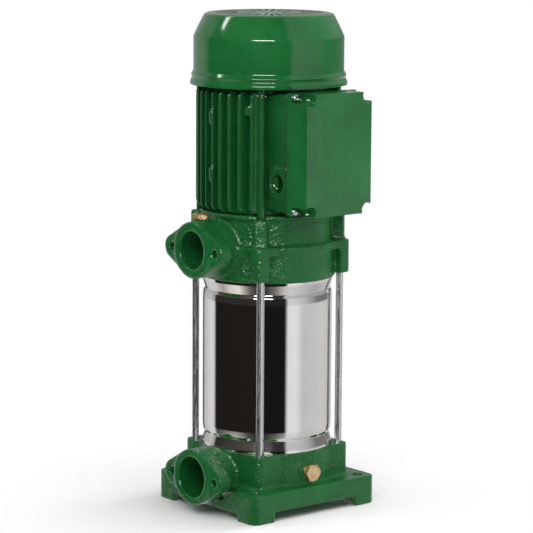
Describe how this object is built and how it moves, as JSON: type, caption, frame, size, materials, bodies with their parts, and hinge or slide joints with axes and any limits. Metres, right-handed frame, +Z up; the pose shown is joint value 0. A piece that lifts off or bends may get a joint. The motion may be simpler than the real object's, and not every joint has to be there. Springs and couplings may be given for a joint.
{
  "type": "vertical multistage pump",
  "caption": "Vertical multistage pump with in-line oval-flange ports, a polished sleeve between tie rods and a finned motor with a terminal box on top.",
  "frame": {"origin": "on the pump axis at floor level, the centre of the anchor bolt holes", "axes": "+Z up along the shaft, -Y out of both ports, +X towards the terminal box and the drain plug"},
  "size_m": [0.2115, 0.1968, 0.5503],
  "materials": {
    "casting_green": "gloss green paint over a rough sand casting",
    "frame_green": "gloss green paint over a die casting",
    "cover_green": "smooth gloss green paint",
    "polished_steel": "bright polished stainless steel",
    "rod_steel": "drawn stainless rod",
    "zinc_steel": "bright zinc plating",
    "stage_steel": "pressed and welded stainless steel",
    "bush_bronze": "turned bronze",
    "gasket_rubber": "moulded rubber",
    "seal_ceramic": "lapped ceramic",
    "seal_carbon": "lapped carbon",
    "shaft_steel": "ground stainless steel",
    "lamination_steel": "stacked electrical sheet",
    "winding_copper": "varnished copper wire",
    "bearing_steel": "ground and polished steel",
    "fan_plastic": "moulded plastic",
    "board_plastic": "moulded resin",
    "stud_brass": "turned brass",
    "plug_brass": "turned brass"
  },
  "bodies": {
    "pump": {"suction_body": "casting_green", "discharge_head": "casting_green", "pump_sleeve": "polished_steel", "lower_sleeve_gasket": "gasket_rubber", "upper_sleeve_gasket": "gasket_rubber", "tie_rod_1": "rod_steel", "tie_rod_2": "rod_steel", "tie_rod_3": "rod_steel", "tie_rod_4": "rod_steel", "tie_rod_nuts": "zinc_steel", "tie_rod_washers": "zinc_steel", "inlet_spider": "stage_steel", "bottom_bush": "bush_bronze", "stack_ring": "stage_steel", "seal_seat": "seal_ceramic", "stator_core": "lamination_steel", "windings": "winding_copper", "motor_frame": "frame_green", "lower_end_shield": "frame_green", "upper_end_shield": "frame_green", "motor_bolts": "zinc_steel", "lower_bearing_outer_ring": "bearing_steel", "upper_bearing_outer_ring": "bearing_steel", "wave_washer": "bearing_steel", "fan_cover": "cover_green", "terminal_box_gasket": "gasket_rubber", "terminal_board": "board_plastic", "terminal_studs": "stud_brass", "stage_casing_1": "stage_steel", "stage_casing_2": "stage_steel", "stage_casing_3": "stage_steel", "stage_casing_4": "stage_steel", "stage_casing_5": "stage_steel"},
    "rotor": {"shaft": "shaft_steel", "impeller_1": "stage_steel", "impeller_2": "stage_steel", "impeller_3": "stage_steel", "impeller_4": "stage_steel", "impeller_5": "stage_steel", "impeller_spacers": "stage_steel", "impeller_nut": "stage_steel", "rotor_core": "lamination_steel", "fan": "fan_plastic", "seal_face": "seal_carbon", "seal_bellows": "gasket_rubber", "lower_bearing_inner_ring": "bearing_steel", "upper_bearing_inner_ring": "bearing_steel"},
    "lower_balls": {"lower_bearing_balls": "bearing_steel"},
    "upper_balls": {"upper_bearing_balls": "bearing_steel"},
    "priming": {"priming_plug": "plug_brass", "priming_plug_washer": "plug_brass"},
    "drain": {"drain_plug": "plug_brass", "drain_plug_washer": "plug_brass"},
    "box_lid": {"terminal_box_cover": "cover_green", "cover_screws": "zinc_steel"}
  },
  "joints": [
    {"name": "rotor_spin", "type": "hinge", "parent": "pump", "child": "rotor", "pos_m": [0, 0, 0], "axis": [0, 0, 1], "continuous": true},
    {"name": "lower_balls_spin", "type": "hinge", "parent": "pump", "child": "lower_balls", "pos_m": [0, 0, 0], "axis": [0, 0, 1], "continuous": true},
    {"name": "upper_balls_spin", "type": "hinge", "parent": "pump", "child": "upper_balls", "pos_m": [0, 0, 0], "axis": [0, 0, 1], "continuous": true},
    {"name": "priming_plug_out", "type": "slide", "parent": "pump", "child": "priming", "axis": [0, 0, 1], "range_m": [0, 0.03]},
    {"name": "drain_plug_out", "type": "slide", "parent": "pump", "child": "drain", "axis": [1, 0, 0], "range_m": [0, 0.03]},
    {"name": "box_lid_off", "type": "slide", "parent": "pump", "child": "box_lid", "axis": [1, 0, 0], "range_m": [0, 0.08]}
  ],
  "couplings": [
    {"joint": "lower_balls_spin", "follows": "rotor_spin", "ratio": 0.3815},
    {"joint": "upper_balls_spin", "follows": "rotor_spin", "ratio": 0.3815}
  ]
}
